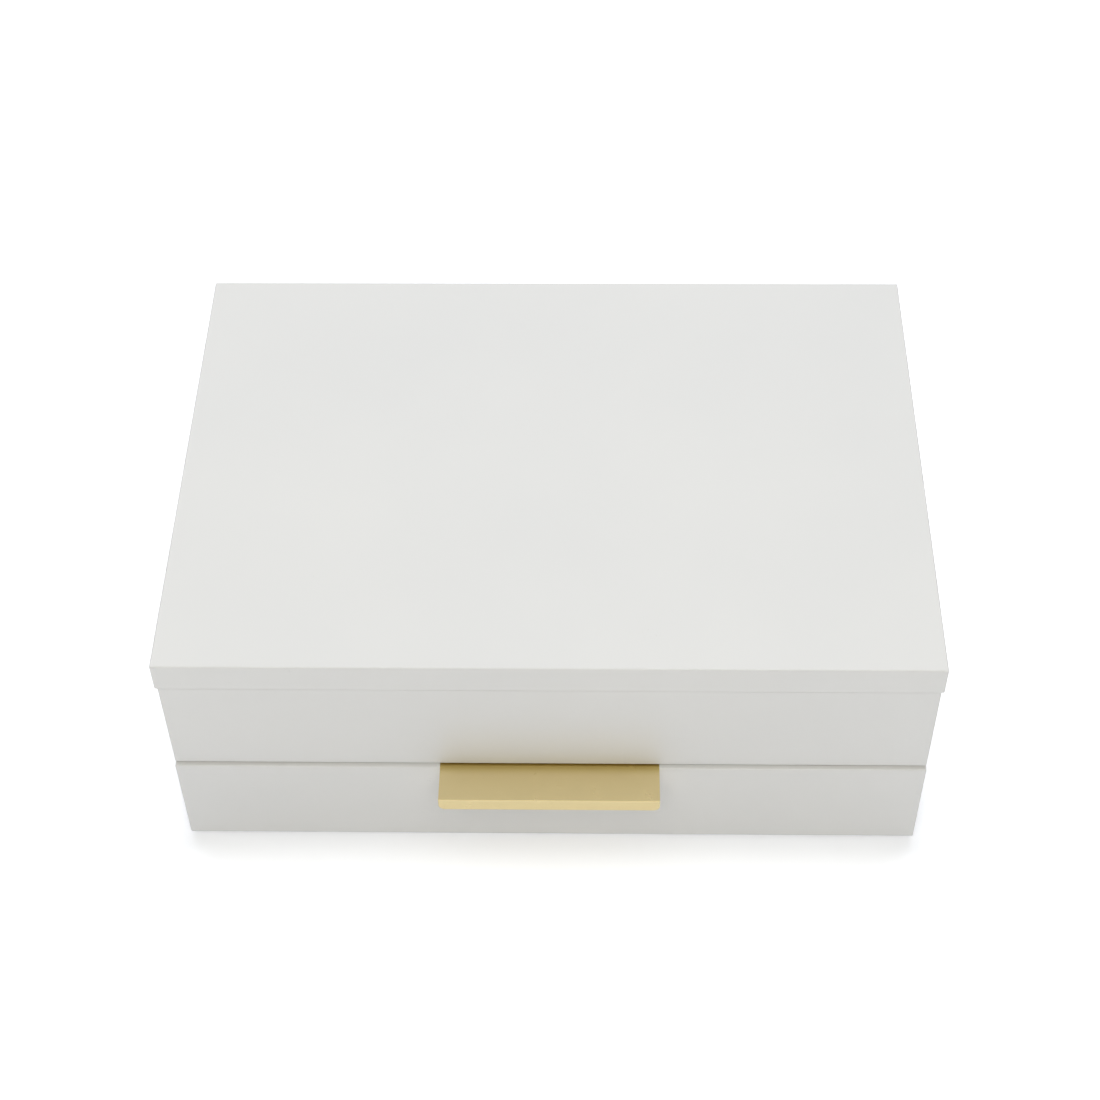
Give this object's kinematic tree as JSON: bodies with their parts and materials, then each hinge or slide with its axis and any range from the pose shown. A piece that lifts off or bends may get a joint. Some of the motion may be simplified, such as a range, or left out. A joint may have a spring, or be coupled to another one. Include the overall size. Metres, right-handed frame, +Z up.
{
  "type": "jewellery chest with drawer",
  "caption": "White lacquered jewellery chest: a hinged lid with a mirror over a velvet-lined ring and trinket tray, above a full-width drawer with a folded brass pull.",
  "frame": {"origin": "centre of the case's footprint, on the underside of the felt base, which is the surface the chest stands on", "axes": "+X to the right of a person facing the drawer, +Y towards the back and the hinges, +Z up"},
  "size_m": [0.28, 0.2207, 0.105],
  "materials": {
    "lacquer_white": "satin white lacquer over fine-sanded MDF",
    "painted_board": "thin matt white paint over board",
    "runner_hardwood": "waxed beech",
    "velvet_lining": "short-pile velvet in a warm stone colour",
    "ring_roll_velvet": "short-pile velvet over soft foam",
    "base_felt": "pressed wool felt",
    "pull_brass": "fine brushed, clear lacquered",
    "hinge_brass": "satin",
    "screw_brass": "turned, satin",
    "mirror_glass": "silvered glass with a ground bevel",
    "clear_silicone": "translucent soft silicone"
  },
  "bodies": {
    "case": {"case_side_left": "lacquer_white", "case_side_right": "lacquer_white", "case_back": "lacquer_white", "case_front": "lacquer_white", "case_bottom": "painted_board", "tray_shelf": "painted_board", "base_felt": "base_felt", "case_hinge_leaf_left": "hinge_brass", "case_hinge_leaf_right": "hinge_brass", "hinge_pin_left": "hinge_brass", "hinge_pin_right": "hinge_brass", "case_hinge_screws": "screw_brass", "drawer_runner_left": "runner_hardwood", "drawer_runner_right": "runner_hardwood", "drawer_stop": "runner_hardwood", "runner_screws": "screw_brass", "drawer_stop_screws": "screw_brass", "tray_lining_floor": "velvet_lining", "tray_lining_front": "velvet_lining", "tray_lining_back": "velvet_lining", "tray_lining_left": "velvet_lining", "tray_lining_right": "velvet_lining", "ring_roll_1": "ring_roll_velvet", "ring_roll_2": "ring_roll_velvet", "ring_roll_3": "ring_roll_velvet", "ring_roll_4": "ring_roll_velvet", "ring_roll_5": "ring_roll_velvet", "ring_roll_6": "ring_roll_velvet", "ring_roll_7": "ring_roll_velvet", "ring_roll_8": "ring_roll_velvet", "tray_divider_long": "velvet_lining", "tray_divider_cross": "velvet_lining", "tray_divider_short": "velvet_lining"},
    "lid": {"lid_panel": "lacquer_white", "lid_lining": "velvet_lining", "lid_mirror": "mirror_glass", "lid_hinge_leaf_left": "hinge_brass", "lid_hinge_leaf_right": "hinge_brass", "lid_hinge_screws": "screw_brass", "lid_bumpers": "clear_silicone"},
    "drawer": {"drawer_front": "lacquer_white", "drawer_side_left": "painted_board", "drawer_side_right": "painted_board", "drawer_back": "painted_board", "drawer_bottom": "painted_board", "drawer_pull": "pull_brass", "drawer_pull_screws": "screw_brass", "drawer_bumpers": "clear_silicone", "drawer_lining_floor": "velvet_lining", "drawer_lining_front": "velvet_lining", "drawer_lining_back": "velvet_lining", "drawer_lining_left": "velvet_lining", "drawer_lining_right": "velvet_lining", "drawer_divider_left": "velvet_lining", "drawer_divider_right": "velvet_lining", "drawer_divider_cross": "velvet_lining"}
  },
  "joints": [
    {"name": "lid_hinge", "type": "hinge", "parent": "case", "child": "lid", "pos_m": [0, 0.1022, 0.0919], "axis": [-1, 0, 0], "range_deg": [0, 95]},
    {"name": "drawer_slide", "type": "slide", "parent": "case", "child": "drawer", "axis": [0, -1, 0], "range_m": [0, 0.13]}
  ]
}
